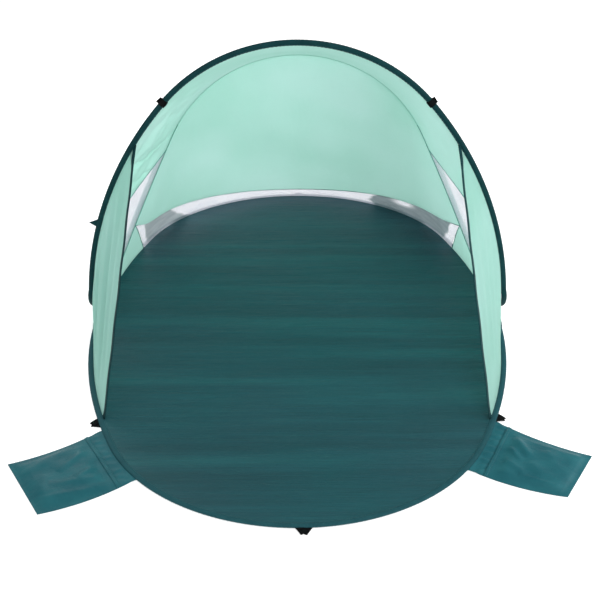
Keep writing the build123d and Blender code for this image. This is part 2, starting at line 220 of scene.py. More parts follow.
class Paint:
    """A material under construction: a Principled node and short ways to feed it."""

    def __init__(self, name, roughness=0.6, sheen=0.0, metallic=0.0, gloss=0.5):
        self.material = bpy.data.materials.new(name)
        self.material.use_nodes = True
        self.nodes = self.material.node_tree.nodes
        self.links = self.material.node_tree.links
        self.shader = self.nodes["Principled BSDF"]
        finish = {"Roughness": roughness, "Metallic": metallic, "Sheen Weight": sheen,
                  "Sheen Roughness": 0.4, "Specular IOR Level": gloss}
        for socket, value in finish.items():
            self.shader.inputs[socket].default_value = value
        self.cloth = self.node("UVMap", {}, uv_map="cloth")

    def node(self, kind, inputs, output=0, **settings):
        """Output of a new node. inputs are constants or other nodes' outputs, by name or number."""
        node = self.nodes.new("ShaderNode" + kind)
        for name, value in settings.items():
            setattr(node, name, value)
        for name, value in inputs.items():
            socket = node.inputs[name]
            if isinstance(value, bpy.types.NodeSocket):
                self.links.new(value, socket)
            elif value is not None:
                socket.default_value = (*value, 1.0) if socket.type == "RGBA" else value
        return node.outputs[output]

    def stretched(self, x, y, turn=0.0):
        """Cloth coordinates, in metres, scaled to repeats per metre along and across."""
        return self.node("Mapping", {"Vector": self.cloth, "Scale": (x, y, 1.0),
                                     "Rotation": (0.0, 0.0, math.radians(turn))})

    def clouds(self, x, y, detail=3.0, turn=0.0, soft=0.5):
        return self.node("TexNoise", {"Vector": self.stretched(x, y, turn), "Scale": 1.0,
                                      "Detail": detail, "Roughness": soft})

    def threads(self, pitch, turn=0.0):
        """Parallel threads, one each pitch metres."""
        repeats = WAVE_PERIOD / pitch
        return self.node("TexWave", {"Vector": self.stretched(repeats, repeats, turn), "Scale": 1.0},
                         "Fac", bands_direction="X")

    def rise(self, low, high, most):
        """Goes from 0 to most between two places along the cloth's second coordinate."""
        up = self.node("SeparateXYZ", {"Vector": self.cloth}, "Y")
        return self.node("MapRange", {"Value": up, "From Min": low, "From Max": high, "To Max": most},
                         interpolation_type="SMOOTHSTEP")

    def math(self, operation, first, second):
        return self.node("Math", {0: first, 1: second}, operation=operation)

    def ramp(self, factor, spread, *colours):
        """Colours evenly over a factor, from 0.5 - spread to 0.5 + spread."""
        mixed = self.node("ValToRGB", {"Fac": factor})
        elements = mixed.node.color_ramp.elements
        while len(elements) < len(colours):
            elements.new(0.5)
        for element, place, colour in zip(elements, steps(-spread, spread, len(colours) - 1), colours):
            element.position = 0.5 + place
            element.color = (*colour, 1.0)
        return mixed

    def mixed(self, factor, first, second, blend="MIX"):
        return self.node("Mix", {0: factor, 6: first, 7: second}, 2, data_type="RGBA", blend_type=blend)

    def colour(self, value):
        self.links.new(value, self.shader.inputs["Base Color"])

    def roughness(self, factor, low, high):
        spread = self.node("MapRange", {"Value": factor, "To Min": low, "To Max": high})
        self.links.new(spread, self.shader.inputs["Roughness"])

    def bumps(self, *layers):
        """Stacked bumps: layers are (height, metres of relief)."""
        normal = None
        for height, relief in layers:
            normal = self.node("Bump", {"Strength": 1.0, "Distance": relief, "Height": height,
                                        "Normal": normal})
        self.links.new(normal, self.shader.inputs["Normal"])
        return normal

    def translucent(self, share, colour, normal, cover=None):
        """Lets light through the cloth: share of it comes from behind. cover leaves open cells in a net."""
        behind = self.node("BsdfTranslucent", {"Color": colour, "Normal": normal})
        surface = self.node("MixShader", {"Fac": share, 1: self.shader.outputs["BSDF"], 2: behind})
        if cover is not None:
            clear = self.node("BsdfTransparent", {})
            surface = self.node("MixShader", {"Fac": cover, 1: clear, 2: surface})
        self.links.new(surface, self.nodes["Material Output"].inputs["Surface"])


def weave(paint, pitch):
    """Height of a plain weave: crossing threads, each pitch metres apart."""
    return paint.math("MULTIPLY", paint.threads(pitch), paint.threads(pitch, 90.0))


def mint_material():
    """Thin woven polyester that lets light through."""
    paint = Paint("mint_canopy_cloth", roughness=0.62, gloss=0.2)
    clouds = paint.clouds(2.2, 2.2, detail=2.0)
    slubs = paint.clouds(14.0, 420.0, detail=2.0)
    mint = paint.ramp(clouds, 0.15, (0.45, 0.81, 0.70), (0.54, 0.87, 0.79))
    colour = paint.mixed(0.06, mint, slubs, "OVERLAY")
    paint.colour(colour)
    normal = paint.bumps(
        (paint.clouds(5.0, 3.0, detail=2.0), 0.010),
        (paint.clouds(38.0, 26.0, turn=20.0), 0.0012),
        (weave(paint, 0.0016), 0.00012),
    )
    paint.translucent(0.55, colour, normal)
    return paint.material


def mesh_material():
    """Fine knitted net: pale threads with open cells between them, with painted shade that greys it and
    closes its cells where its shade colour says so.
    """
    paint = Paint("window_net", roughness=0.7, sheen=0.1)
    cells = paint.node("TexVoronoi", {"Vector": paint.stretched(620.0, 620.0), "Scale": 1.0,
                                      "Randomness": 0.25}, feature="DISTANCE_TO_EDGE")
    thread = paint.node("MapRange", {"Value": cells, "From Min": 0.10, "From Max": 0.22,
                                     "To Min": 0.98, "To Max": 0.50})
    # Painted shade: the shade colour closes the net's cells and mixes in grey
    shade = paint.node("VertexColor", {}, layer_name="shade")
    cover = paint.math("MAXIMUM", thread, paint.math("MULTIPLY", shade, 0.93))
    streaks = paint.clouds(9.0, 34.0, detail=2.0, turn=35.0)
    pale = paint.ramp(streaks, 0.12, (0.80, 0.80, 0.91), (0.90, 0.89, 0.98))
    grey = paint.ramp(streaks, 0.14, (0.165, 0.23, 0.255), (0.25, 0.325, 0.36))
    colour = paint.mixed(shade, pale, grey)
    paint.colour(colour)
    paint.translucent(0.5, colour, paint.bumps((streaks, 0.002)), cover)
    return paint.material


def floor_material():
    """Coated polyester sheet, pressed into fine sideways creases by folding, with a painted sheen towards
    the rear.
    """
    paint = Paint("floor_cloth", roughness=0.5, gloss=0.25)
    bands = paint.clouds(0.35, 9.0, detail=4.0, turn=2.0, soft=0.6)
    patches = paint.clouds(2.4, 2.4)
    deep = paint.ramp(bands, 0.12, (0.004, 0.051, 0.064), (0.006, 0.074, 0.091), (0.010, 0.108, 0.120))
    greyer = paint.ramp(patches, 0.16, (0.012, 0.070, 0.088), (0.006, 0.088, 0.099))
    fine = paint.clouds(5.0, 260.0, turn=1.0)
    colour = paint.mixed(0.40, deep, greyer)
    # Painted sheen: paler and bluer towards the rear, where the floor catches the light of the rear wall and
    # window at a glancing angle
    colour = paint.mixed(paint.rise(0.30, 0.95, 0.62), colour, (0.036, 0.104, 0.134))
    paint.colour(paint.mixed(0.32, colour, fine, "OVERLAY"))
    paint.roughness(patches, 0.42, 0.60)
    paint.bumps(
        (paint.clouds(1.6, 30.0, detail=4.0, soft=0.6), 0.0050),
        (paint.clouds(7.0, 90.0, detail=4.0, turn=3.0, soft=0.65), 0.0048),
        (paint.clouds(22.0, 30.0, detail=4.0, turn=25.0, soft=0.65), 0.0026),
        (weave(paint, 0.0022), 0.00016),
    )
    return paint.material


def binding_material(name, dark, light, rib=0.0032):
    """Sleeve tape gathered into fine ribs across its length."""
    paint = Paint(name, roughness=0.55, gloss=0.08)
    clouds = paint.clouds(26.0, 60.0)
    ribs = paint.threads(rib)
    colour = paint.ramp(clouds, 0.2, dark, light)
    paint.colour(paint.mixed(0.25, colour, ribs, "OVERLAY"))
    paint.roughness(clouds, 0.48, 0.66)
    paint.bumps((paint.clouds(60.0, 30.0), 0.0016), (ribs, 0.00045), (weave(paint, 0.0011), 0.0001))
    return paint.material


def pocket_material():
    """Satin polyester, softly crumpled."""
    paint = Paint("pocket_satin", roughness=0.44, gloss=0.12)
    clouds = paint.clouds(16.0, 11.0)
    colour = paint.ramp(clouds, 0.2, (0.009, 0.096, 0.120), (0.019, 0.140, 0.164))
    slubs = paint.clouds(30.0, 900.0, detail=2.0)
    paint.colour(paint.mixed(0.12, colour, slubs, "OVERLAY"))
    paint.roughness(clouds, 0.38, 0.52)
    paint.bumps(
        (paint.clouds(24.0, 17.0, turn=25.0), 0.0030),
        (paint.clouds(90.0, 60.0, turn=-15.0), 0.0006),
        (weave(paint, 0.0012), 0.0001),
    )
    return paint.material


def webbing_material():
    """Black polyester webbing with ribs along it."""
    paint = Paint("black_ribbed_webbing", roughness=0.72, gloss=0.05)
    clouds = paint.clouds(120.0, 60.0)
    paint.colour(paint.ramp(clouds, 0.2, (0.002, 0.003, 0.003), (0.007, 0.008, 0.009)))
    paint.bumps((paint.threads(0.0016, 90.0), 0.0004), (paint.threads(0.0012), 0.0002))
    return paint.material


def thread_material():
    """Twisted sewing thread."""
    paint = Paint("teal_thread", roughness=0.5, sheen=0.2)
    paint.colour(paint.ramp(paint.clouds(300.0, 300.0), 0.2, (0.03, 0.12, 0.13), (0.05, 0.17, 0.18)))
    paint.bumps((paint.threads(0.0006, 35.0), 0.0001))
    return paint.material


def metal_material(name, dark, light, roughness):
    """Drawn wire or crimped tube, lightly spotted."""
    paint = Paint(name, roughness=roughness, metallic=1.0)
    spots = paint.node("TexNoise", {"Vector": paint.node("TexCoord", {}, "Object"), "Scale": 900.0})
    paint.colour(paint.ramp(spots, 0.2, dark, light))
    paint.bumps((spots, 0.0001))
    return paint.material


MINT = mint_material()
MINT_SEAM = binding_material("mint_seam_tape", (0.10, 0.34, 0.30), (0.14, 0.42, 0.38))
NET = mesh_material()
FLOOR = floor_material()
BINDING = binding_material("dark_sleeve_tape", (0.003, 0.032, 0.036), (0.006, 0.046, 0.051))
RIM_BINDING = binding_material("rim_sleeve_tape", (0.014, 0.076, 0.092), (0.020, 0.096, 0.112))
POCKET = pocket_material()
WEBBING = webbing_material()
TEAL_THREAD = thread_material()
WIRE = metal_material("oiled_spring_wire", (0.30, 0.31, 0.32), (0.46, 0.47, 0.48), 0.35)
FERRULE = metal_material("crimped_ferrule", (0.60, 0.61, 0.62), (0.76, 0.77, 0.78), 0.30)


# --- mesh building


def add_mesh(name, points, uvs, faces, material):
    """New smooth mesh object; uvs are cloth coordinates in metres, one for each point."""
    mesh = bpy.data.meshes.new(name)
    mesh.from_pydata([tuple(p) for p in points], [], faces)
    layer = mesh.uv_layers.new(name="cloth")
    corner_points = np.empty(len(mesh.loops), np.int32)
    mesh.loops.foreach_get("vertex_index", corner_points)
    layer.data.foreach_set("uv", np.array(uvs, np.float32)[corner_points].ravel())
    mesh.materials.append(material)
    mesh.polygons.foreach_set("use_smooth", [True] * len(mesh.polygons))
    piece = bpy.data.objects.new(name, mesh)
    bpy.context.collection.objects.link(piece)
    return piece


def grid_faces(rows, columns, around=False):
    """Quads of a grid of points stored row by row; around joins the last column to the first."""
    faces = []
    for i in range(rows - 1):
        for j in range(columns if around else columns - 1):
            k = (j + 1) % columns
            faces.append((i * columns + j, i * columns + k, (i + 1) * columns + k, (i + 1) * columns + j))
    return faces


def grid(rows, columns, at, joined=((), (), ())):
    """Points, cloth coordinates and faces of a grid, after those it is joined to. at(i, j) gives both."""
    points, uvs, faces = map(list, joined)
    first = len(points)
    for i in range(rows + 1):
        for j in range(columns + 1):
            point, uv = at(i, j)
            points.append(point)
            uvs.append(uv)
    faces += [tuple(first + n for n in face) for face in grid_faces(rows + 1, columns + 1)]
    return points, uvs, faces


def tube(name, spots, ring, material):
    """Closed tube along a line of spots. ring(i, along) gives one spot's points and their place across."""
    points, uvs, along = [], [], 0.0
    for i, spot in enumerate(spots):
        along += (spot - spots[max(i - 1, 0)]).length
        around = ring(i, along)
        points += [point for point, _ in around]
        uvs += [(along, across) for _, across in around]
    count = len(around)
    last = len(points) - count
    faces = grid_faces(len(spots), count, around=True)
    faces += [tuple(reversed(range(count))), tuple(range(last, last + count))]
    return add_mesh(name, points, uvs, faces, material)


def squarish(count, u_power, v_power):
    """Points (u, v) round a squarish section that reaches from -1 to 1 both ways."""
    section = []
    for k in range(count):
        turn = 2 * math.pi * k / count
        u, v = math.cos(turn), math.sin(turn)
        section.append((math.copysign(abs(u) ** u_power, u), math.copysign(abs(v) ** v_power, v)))
    return section


def thicken(piece, thickness):
    """Gives an opaque sheet its two faces and its edge."""
    solid = piece.modifiers.new("cloth thickness", "SOLIDIFY")
    solid.thickness = thickness
    solid.offset = 0.0
    return piece


def by_angle(piece, first, second):
    """Bakes the piece's transform and works out each point's angle about the fold line, which nothing uses.
    """
    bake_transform(piece)
    points = np.array([v.co for v in piece.data.vertices])
    angles = np.degrees(np.arctan2(points[:, 2] - AXIS_HEIGHT, points[:, 1]))
    angles = np.where(angles < -90, angles + 360, angles)


def finish_piece(piece, body, slot, *nodes):
    """Hangs a piece on the body that it rides on and hides the nodes that it stands for; slot is not used.
    For a pair of bodies the piece only has its transform baked.
    """
    if isinstance(body, tuple):
        by_angle(piece, *body)
    else:
        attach(piece, body)
    if nodes:
        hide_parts(*nodes)
    return piece


# --- canopy panels


def panel(name, low_curve, high_curve, runs, span, rows, relief, material=MINT, shade=None, nudge=-NUDGE):
    """Cloth between two curves. span gives its start and stop over the height; relief lifts its points.

    relief takes the run, the share of the height and the distances along and up, and gives metres
    towards the inside of the tent. shade darkens a net, by the run and the share of its own height.
    """
    points, uvs, shades = [], [], []
    along, before = 0.0, None
    for run in runs:
        low, high = low_curve(run), high_curve(run)
        middle = (low + high) / 2
        if before is not None:
            along += (middle - before).length
        before = middle
        step = math.copysign(nudge, run * nudge)
        travel = (low_curve(run + step) + high_curve(run + step)) / 2 - middle
        face = (high - low).cross(travel * math.copysign(1, step)).normalized()
        start, stop = span(run)
        height = (high - low).length
        for row in range(rows + 1):
            share = between(start, stop, row / rows)
            lift = relief(run, share, along, share * height)
            points.append(between(low, high, share) + face * lift)
            uvs.append((along, share * height))
            dark = shade(run, row / rows) if shade else 0.0
            shades.extend((dark, dark, dark, 1.0))
    piece = add_mesh(name, points, uvs, grid_faces(len(runs), rows + 1), material)
    if shade:
        piece.data.color_attributes.new("shade", "FLOAT_COLOR", "POINT").data.foreach_set("color", shades)
    return piece


def window_share(run):
    """Top edge of the rear window, as a share of the rear wall's height there."""
    out = min(1.0, abs(run) / (1 - WINDOW_END_TOP))
    return WINDOW_MIDDLE + WINDOW_SWEEP * out**2 + WINDOW_CORNER * out**8


def window_end_share(run):
    """Slanted end edge of the rear window: 0 on the rim, 1 on the rear arch."""
    up = 1 - abs(run)
    return clamp((WINDOW_END_FOOT - up) / (WINDOW_END_FOOT - WINDOW_END_TOP))


def side_window_share(run):
    """Front edge of a side window, as a share of the way from the rear arch to the front arch."""
    t = (SIDE_WINDOW_TOP - 1 + abs(run)) / (SIDE_WINDOW_TOP - SIDE_WINDOW_FRONT)
    return t + 0.28 * t * (1 - t) if 0 < t < 1 else t


def tension(share):
    """0 at both sewn edges, 1 halfway between them."""
    return 4 * share * (1 - share)


# Depth of the cloth's hollows, folds and puckers
WALL_HOLLOW = 0.006
WALL_PULLS = 0.0035
WALL_FOLDS = 0.0045
WALL_PUCKERS = 0.0016
ROOF_HOLLOW = 0.004
ROOF_FOLDS = 0.003
ROOF_GATHERS = {-1: 0.014, 1: 0.003}
NET_FOLDS = 0.0030
CORNER_FOLDS = 0.004
WING_FOLDS = {-1: 0.0050, 1: 0.0022}

# Creases across the left of the roof: the run where each starts, its slope and its depth
ROOF_CREASES = ((-0.455, 6.0, 0.016), (-0.540, 7.0, 0.010), (-0.590, 9.0, 0.008))
CREASE_WIDTH = 0.030            # as a share of the strip


def wall_relief(run, share, along, up):
    """A tight wall and window drawn inwards between their hoops, with faint diagonal pulls."""
    tight = tension(share)
    inside = -WALL_HOLLOW * tight
    pulls = WALL_PULLS * math.sin(7.0 * along + 11.0 * up) * tight
    soft = WALL_FOLDS * rough(along, up, 1, 0.23) * tight
    edge = WALL_PUCKERS * rough(along, up, 2, 0.05) * (1 - tight)
    edge *= smooth(share * 12) * smooth((1 - share) * 12)
    return smooth((1 - WINDOW_END_TOP - abs(run)) / CORNER_EASE) * (inside + pulls + soft + edge)


def roof_relief(run, share, along, up):
    """The roof strip, gathered on the left side, and level with a side window's net at their seam."""
    tight = tension(share)
    gather = ROOF_GATHERS[-1 if run < -0.25 else 1]
    folds = gather * rough(along * 0.55 + up * 0.2, up, 3, 0.045) * tight * smooth((abs(run) - 0.15) * 4)
    for start, slope, depth in ROOF_CREASES:
        line = 0.12 + (start - run) * slope
        if 0 < line < 1:
            folds += depth * math.exp(-((share - line) / CREASE_WIDTH) ** 2) * tension(line)
    own = -ROOF_HOLLOW * tight + folds + ROOF_FOLDS * rough(along, up, 4, 0.16) * tight
    return between(net_relief(run, share, along, up), own, smooth((share - side_window_share(run)) / 0.12))


def net_relief(run, share, along, up):
    hold = smooth((1 - PANEL_START - abs(run)) / EASE)
    return NET_FOLDS * rough(along, up, 5, 0.075) * tension(share) * hold


def corner_relief(run, share, along, up):
    hold = smooth((abs(run) - 1 + WINDOW_END_TOP) / 0.05) * smooth((1 - PANEL_START - abs(run)) / EASE)
    return CORNER_FOLDS * hold * rough(along, up, 6, 0.05) * tension(share)


def wing_relief(side):
    """Soft folds that run from the floor to the arch, deeper in the left wing."""

    def relief(run, share, along, up):
        folds = math.sin(along * 120 + 2.2 * math.sin(up * 5)) + 0.6 * math.sin(along * 61 + up * 3)
        return WING_FOLDS[side] * folds * tension(share) * smooth(run * 4) * smooth((1.02 - run) * 6)

    return relief


# Ends of the patches of painted shade on the rear net, as runs at its foot and at its top
LEFT_PATCH = ((0.355, 0.455), (0.58, 0.66))
RIGHT_PATCH_START = 0.222
RIGHT_PATCH_END = (0.56, 0.64)
PATCH_EDGE = 0.012
HEM_TOP = 0.20


def window_shade(run, up):
    """Painted shade on the rear window's net: a darker, less open patch towards each end, above a pale hem.
    """
    hem = 0.6 * smooth((HEM_TOP - up) / 0.05) * smooth((abs(run) - 0.42) / 0.05)
    out = abs(run) + 0.012 * rough(run * 3, up, 9, 0.25)
    if run < 0:
        inner, outer = (between(*end, up) for end in LEFT_PATCH)
        return 0.90 * smooth((out - inner) / PATCH_EDGE) * smooth((outer - out) / PATCH_EDGE) * (1 - hem)
    inner = smooth((out - RIGHT_PATCH_START - 0.02 * (2 * up - 1) ** 2) / 0.014)
    outer = smooth((between(*RIGHT_PATCH_END, up) - out) / PATCH_EDGE)
    bare = math.exp(-(((run - 0.355) / 0.030) ** 2) - ((up - 0.86) / 0.16) ** 2)
    return inner * outer * (1 - min(1.0, 1.4 * bare)) * (1 - hem)


def side_net_shade(run, up):
    """Painted shade: a side net is mixed a little towards the net's grey, more on the left."""
    return 0.20 if run < 0 else 0.14


def bent_edge(half):
    """Sewn edge of a half hoop that near a crossing follows its bend, as far as the rear arch."""
    plain = half.edge(SEW_INSET)
    first = 1 - half.share_at(ARCH_BEND_START)
    bends = {side: bend_stations(front_arch, rear_rim, ARCH_BEND_START, ARCH_BEND_X, side)
             for side in (-1, 1)}

    def at(run):
        past = (abs(run) - first) / (1 - PANEL_START - first)
        if past <= 0:
            return plain(run)
        meets = ARCH_BEND_MEETS * past if half is front_arch else 1 - (1 - ARCH_BEND_MEETS) * past
        stations = bends[1 if run > 0 else -1]
        spot, outward, _ = stations[min(len(stations) - 1, round(meets * len(stations)))]
        return spot - outward * SEW_INSET

    return at


def make_canopy():
    rim, rear, arch = bent_edge(rear_rim), rear_arch.edge(SEW_INSET), bent_edge(front_arch)
    window_end, roof_end = 1 - WINDOW_END_TOP, 1 - SIDE_WINDOW_FRONT
    wall = panel("rear_wall_cloth", rim, rear, steps(-window_end, window_end, 170),
                 lambda t: (window_share(t), 1.0), 64, wall_relief)
    finish_piece(wall, REAR_PAIR, "mint_canopy", "rear_wall_panel")
    window = panel("rear_window_net", rim, rear, steps(-window_end, window_end, 240),
                   lambda t: (window_end_share(t), window_share(t)), 16, wall_relief, NET, window_shade)
    finish_piece(window, REAR_PAIR, "window_mesh", "rear_window_mesh")
    roof = panel("roof_cloth", rear, arch, steps(-roof_end, roof_end, 360),
                 lambda t: (max(0.0, side_window_share(t)), 1.0), 80, roof_relief)
    finish_piece(roof, ROOF_PAIR, "mint_canopy", "roof_panel")
    for name, side in SIDES.items():
        runs = steps(1 - WINDOW_END_FOOT, window_end, 30) + steps(window_end, 1 - PANEL_START, 50)[1:]
        corner = panel(f"rear_corner_cloth_{name}", rim, rear, [side * run for run in runs],
                       lambda t: (0.0, window_end_share(t)), 40, corner_relief)
        finish_piece(corner, REAR_PAIR, "mint_canopy", f"rear_corner_panel_{name}")
        net = panel(f"side_window_net_{name}", rear, arch,
                    steps(side * (1 - SIDE_WINDOW_TOP + NUDGE), side * (1 - PANEL_START), 80),
                    lambda t: (0.0, min(1.0, side_window_share(t))), 24, net_relief, NET, side_net_shade)
        finish_piece(net, ROOF_PAIR, "window_mesh", f"side_window_{name}")
        make_wing(name, side)


def make_wing(name, side):
    """A wing and the tape on its free edge, over a run of 0 at the crossing to 1 at that edge."""
    rim, arch = front_rim.edge(SEW_INSET), front_arch.edge(SEW_INSET)

    def foot(run):
        return rim(side * (1 - WING_FOOT * run))

    def top(run):
        return arch(side * (1 - WING_TOP * run))

    wing = panel(f"wing_cloth_{name}", foot, top, steps(WING_START, 1.0, 90), lambda t: (0.0, 1.0), 60,
                 wing_relief(side), nudge=NUDGE)
    finish_piece(wing, WING_PAIR, "mint_canopy", f"wing_{name}")
    travel = (foot(1 + NUDGE) + top(1 + NUDGE) - foot(1.0) - top(1.0)) / 2
    tape = wing_tape(name, foot(1.0), top(1.0), travel)
    finish_piece(tape, WING_PAIR, "dark_binding", f"wing_binding_{name}")


TAPE_SECTION = ((-1, -0.5), (-0.6, -1), (0.6, -1), (1, -0.5), (1, 0.5), (0.6, 1), (-0.6, 1), (-1, 0.5))


def strip(name, path, across, width, thickness, material):
    """Flat tape along a path. across gives its sideways direction at each place; width may be a list."""

    def ring(i, _):
        ahead = path[min(i + 1, len(path) - 1)] - path[max(i - 1, 0)]
        side = across[i].normalized()
        face = ahead.cross(side).normalized()
        half = (width[i] if isinstance(width, list) else width) / 2
        return [(path[i] + side * (u * half) + face * (v * thickness / 2), u * half)
                for u, v in TAPE_SECTION]

    return tube(name, path, ring, material)


def wing_tape(name, low, high, travel):
    """Folded tape on the straight free edge of a wing, flaring where it runs into the two sleeves."""
    along = (high - low).normalized()
    sideways = (travel - along * travel.dot(along)).normalized()
    length = (high - low).length
    path, across, widths = [], [], []
    for t in steps(0.0, 1.0, 90):
        flare = TOP_FLARE * smooth((t - 0.90) / 0.10) + FOOT_FLARE * smooth((0.03 - t) / 0.03)
        path.append(between(low, high, t) - sideways * (flare / 2 - 0.0015 * math.sin(t * length * 40)))
        across.append(sideways)
        widths.append(WING_TAPE + flare)
    return strip(f"wing_edge_tape_{name}", path, across, widths, 0.0018, BINDING)


def make_seams():
    """Narrow tapes inside the tent, over the seams where two panels meet."""
    rim, rear, arch = rear_rim.edge(SEW_INSET), rear_arch.edge(SEW_INSET), front_arch.edge(SEW_INSET)
    window_end = 1 - WINDOW_END_TOP

    def seam(name, low, high, runs, share_of, tape, body, across=None):
        path = [between(low(t), high(t), share_of(t)) for t in runs]
        across = across or [high(t) - low(t) for t in runs]
        finish_piece(strip(name, path, across, *tape, MINT_SEAM), body, "mint_canopy")

    runs = steps(-window_end, window_end, 180)
    seam("rear_window_seam", rim, rear, runs, window_share, SEAM_TAPE, REAR_PAIR)
    for name, side in SIDES.items():
        runs = steps(side * (1 - SIDE_WINDOW_TOP), side * (1 - SIDE_WINDOW_FRONT - 0.01), 80)
        seam(f"side_window_seam_{name}", rear, arch, runs, side_window_share, SEAM_TAPE, ROOF_PAIR)
        runs = steps(side * (1 - WINDOW_END_FOOT), side * window_end, 40)
        travel = rim(side * (window_end + 0.01)) - rim(side * window_end)
        seam(f"rear_window_end_seam_{name}", rim, rear, runs, window_end_share, END_TAPE, REAR_PAIR,
             [travel] * len(runs))
    # Partly painted shade: down each leg of the rear arch, the seam of roof and wall is a dark tape that
    # stands in for the shadow of the fold there; over the top there is none
    lower = rear_arch.edge(SEW_INSET + 0.0012)
    for name, side in SIDES.items():
        runs = steps(side * 0.42, side * (1 - PANEL_START), 120)
        seam(f"rear_arch_seam_and_shade_{name}", lower, lower, runs, lambda t: 0.0, ARCH_TAPE, "rear_arch",
             [rear_arch.station(t)[2] for t in runs])


# --- sleeves

SECTION = squarish(20, 0.75, 0.85)


def sleeve_mesh(name, stations, material, seed):
    """Gathered fabric tube round a wire. stations give place, outward direction and square direction."""

    def ring(i, along):
        spot, outward, square = stations[i]
        phase = along * 2 * math.pi / GATHER_PITCH + 3 * rough(along, 0, seed, 0.05)
        gather = GATHER_HEIGHT * math.sin(phase)
        swell = 1 + 0.07 * rough(along, 0, seed + 1, 0.018) + 0.05 * rough(along, 0, seed + 2, 0.07)
        around = []
        for n, (u, v) in enumerate(SECTION):
            taper = 1.0 if u > -0.1 else 1 - 0.62 * smooth((-u - 0.1) / 0.8)
            reach = SLEEVE_HALF - 0.0002 + (gather if u < 0 else gather * 0.4)
            lift = v * SLEEVE_THICKNESS / 2 * taper * min(swell, 1.06)
            around.append((spot + outward * (u * reach) + square * lift, n / len(SECTION) * SLEEVE_GIRTH))
        return around

    return tube(name, [station[0] for station in stations], ring, material)


def half_stations(half, start):
    end = 1 - half.share_at(start)
    return [half.station(run) for run in steps(-end, end, 900)]


def wire_mesh(name, stations):
    """Round spring wire through the stations."""

    def ring(i, _):
        spot, outward, square = stations[i]
        turns = [2 * math.pi * k / WIRE_SIDES for k in range(WIRE_SIDES)]
        return [(spot + (outward * math.cos(turn) + square * math.sin(turn)) * WIRE_RADIUS,
                 turn * WIRE_RADIUS) for turn in turns]

    return tube(name, [station[0] for station in stations], ring, WIRE)


def bend_stations(first, second, start, outer_x, side, count=80):
    """Stations round a crossing, from one half hoop to the next: an arc in side view, bowed outwards."""
    run_first, run_second = side * (1 - first.share_at(start)), side * (1 - second.share_at(start))
    p, p_out, _ = first.station(run_first)
    q, q_out, _ = second.station(run_second)
    half_angle = abs(second.elevation - first.elevation) / 2
    radius = start * math.tan(half_angle)
    inward = Vector((0, p.y + q.y, p.z + q.z - 2 * AXIS_HEIGHT)).normalized()
    centre = Vector((0, 0, AXIS_HEIGHT)) + inward * math.hypot(radius, start)
    first_angle = math.atan2(p.z - centre.z, p.y - centre.y)
    turn = (math.atan2(q.z - centre.z, q.y - centre.y) - first_angle + math.pi) % (2 * math.pi) - math.pi
    spots, outwards = [], []
    for t in steps(0.0, 1.0, count):
        angle = first_angle + turn * t
        x = between(p.x, q.x, t) + (side * outer_x - (p.x + q.x) / 2) * 4 * t * (1 - t)
        spots.append(Vector((x, centre.y + radius * math.cos(angle), centre.z + radius * math.sin(angle))))
        outwards.append(between(p_out, q_out, t))
    spots[0], spots[-1] = p, q
    stations = []
    for i, spot in enumerate(spots):
        ahead = (spots[min(i + 1, count)] - spots[max(i - 1, 0)]).normalized()
        outward = (outwards[i] - ahead * outwards[i].dot(ahead)).normalized()
        stations.append((spot, outward, ahead.cross(outward)))
    return stations


def stitches(name, stations, body, offset, lift, pitch=0.0046):
    """Row of lockstitches on both faces of a sleeve, one small spindle for each stitch."""
    points, faces = [], []
    along, due = 0.0, pitch / 2
    half = pitch * STITCH_FILL
    for i in range(1, len(stations)):
        here, before = stations[i], stations[i - 1]
        gap = (here[0] - before[0]).length
        while due <= along + gap:
            t = (due - along) / gap
            spot, outward, square = (between(a, b, t) for a, b in zip(before, here))
            ahead = (here[0] - before[0]).normalized()
            for face in (-1, 1):
                centre = spot - outward * offset + square * (face * lift)
                k = len(points)
                points += [centre - ahead * half, centre + ahead * half]
                points += [centre + outward * r for r in (-STITCH_RADIUS, STITCH_RADIUS)]
                points += [centre + square * (face * r) for r in (STITCH_RADIUS, -STITCH_RADIUS)]
                for a, b in ((2, 4), (4, 3), (3, 5), (5, 2)):
                    faces += [(k, k + a, k + b), (k + 1, k + b, k + a)]
            due += pitch
        along += gap
    piece = add_mesh(name, points, [(p.x, p.y) for p in points], faces, TEAL_THREAD)
    return finish_piece(piece, body, "dark_binding")


def make_sleeves():
    halves = {
        "front_rim": (front_rim, RIM_BEND_START, "front_floor", RIM_BINDING),
        "rear_arch": (rear_arch, RIM_BEND_START, "rear_arch", MINT),
        "front_arch": (front_arch, ARCH_BEND_START, "front_arch", BINDING),
        "rear_rim": (rear_rim, ARCH_BEND_START, "base", RIM_BINDING),
    }
    for seed, (name, (half, start, body, material)) in enumerate(halves.items(), 20):
        stations = half_stations(half, start)
        piece = sleeve_mesh(f"{name}_fabric_sleeve", stations, material, seed)
        slot = "mint_canopy" if material is MINT else "dark_binding"
        finish_piece(piece, body, slot, f"{name}_sleeve")
        stitches(f"{name}_stitching", stations, body, offset=0.0062, lift=0.0019)
    for side_name, side in SIDES.items():
        stations = bend_stations(front_arch, rear_rim, ARCH_BEND_START, ARCH_BEND_X, side)
        make_bend("arch_bend", side_name, stations, BINDING, ROOF_PAIR, REAR_PAIR, 30)
    for side_name, side in SIDES.items():
        stations = bend_stations(front_rim, rear_arch, RIM_BEND_START, RIM_BEND_X, side)
        make_bend("rim_bend", side_name, stations, RIM_BINDING, WING_PAIR, ROOF_PAIR, 31)


